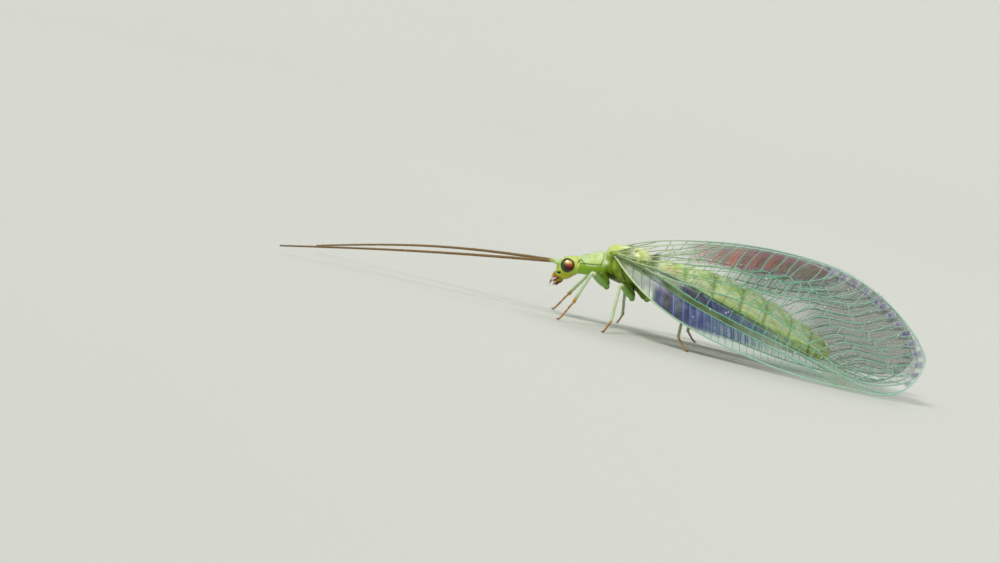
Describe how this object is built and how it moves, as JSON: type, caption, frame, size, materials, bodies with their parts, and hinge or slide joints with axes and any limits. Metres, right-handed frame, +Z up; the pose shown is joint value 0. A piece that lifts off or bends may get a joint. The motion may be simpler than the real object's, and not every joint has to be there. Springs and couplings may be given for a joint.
{
  "type": "green lacewing",
  "caption": "Slender green insect at rest, clear veined wings folded like a roof over its body, long feelers held forward, standing on thin legs.",
  "frame": {"origin": "under the middle of the insect's box, on the floor", "axes": "+X from the feeler tips to the wing tips, so the head looks along -X; +Y to the insect's right; +Z up"},
  "size_m": [0.0276, 0.0064, 0.0049],
  "materials": {
    "head": "yellow-green skin, softly shining",
    "eye": "copper and dark green compound eye with a metallic shine",
    "feeler": "tan-brown ringed feeler",
    "mouth": "amber and pale jaws and palps",
    "thorax": "green skin with fine pale hairs and dark marks",
    "abdomen": "pale green ringed skin with a whitish side band",
    "wing": "clear film with rainbow sheen and green veins",
    "leg": "green skin with fine hairs",
    "foot": "tan-brown foot joints and claws"
  },
  "bodies": {
    "root": {"head": "head", "eye_left": "eye", "eye_right": "eye", "mouthparts": "mouth", "scape_left": "head", "scape_right": "head", "antenna_left": "feeler", "antenna_right": "feeler", "prothorax": "thorax", "mesothorax": "thorax", "metathorax": "thorax", "abdomen_front": "abdomen", "abdomen_middle": "abdomen", "abdomen_tip": "abdomen", "forewing_left": "wing", "forewing_right": "wing", "hindwing_left": "wing", "hindwing_right": "wing", "front_left_coxa": "leg", "front_left_femur": "leg", "front_left_tibia": "leg", "front_left_tarsus": "foot", "front_right_coxa": "leg", "front_right_femur": "leg", "front_right_tibia": "leg", "front_right_tarsus": "foot", "middle_left_coxa": "leg", "middle_left_femur": "leg", "middle_left_tibia": "leg", "middle_left_tarsus": "foot", "middle_right_coxa": "leg", "middle_right_femur": "leg", "middle_right_tibia": "leg", "middle_right_tarsus": "foot", "hind_left_coxa": "leg", "hind_left_femur": "leg", "hind_left_tibia": "leg", "hind_left_tarsus": "foot", "hind_right_coxa": "leg", "hind_right_femur": "leg", "hind_right_tibia": "leg", "hind_right_tarsus": "foot"}
  },
  "joints": []
}
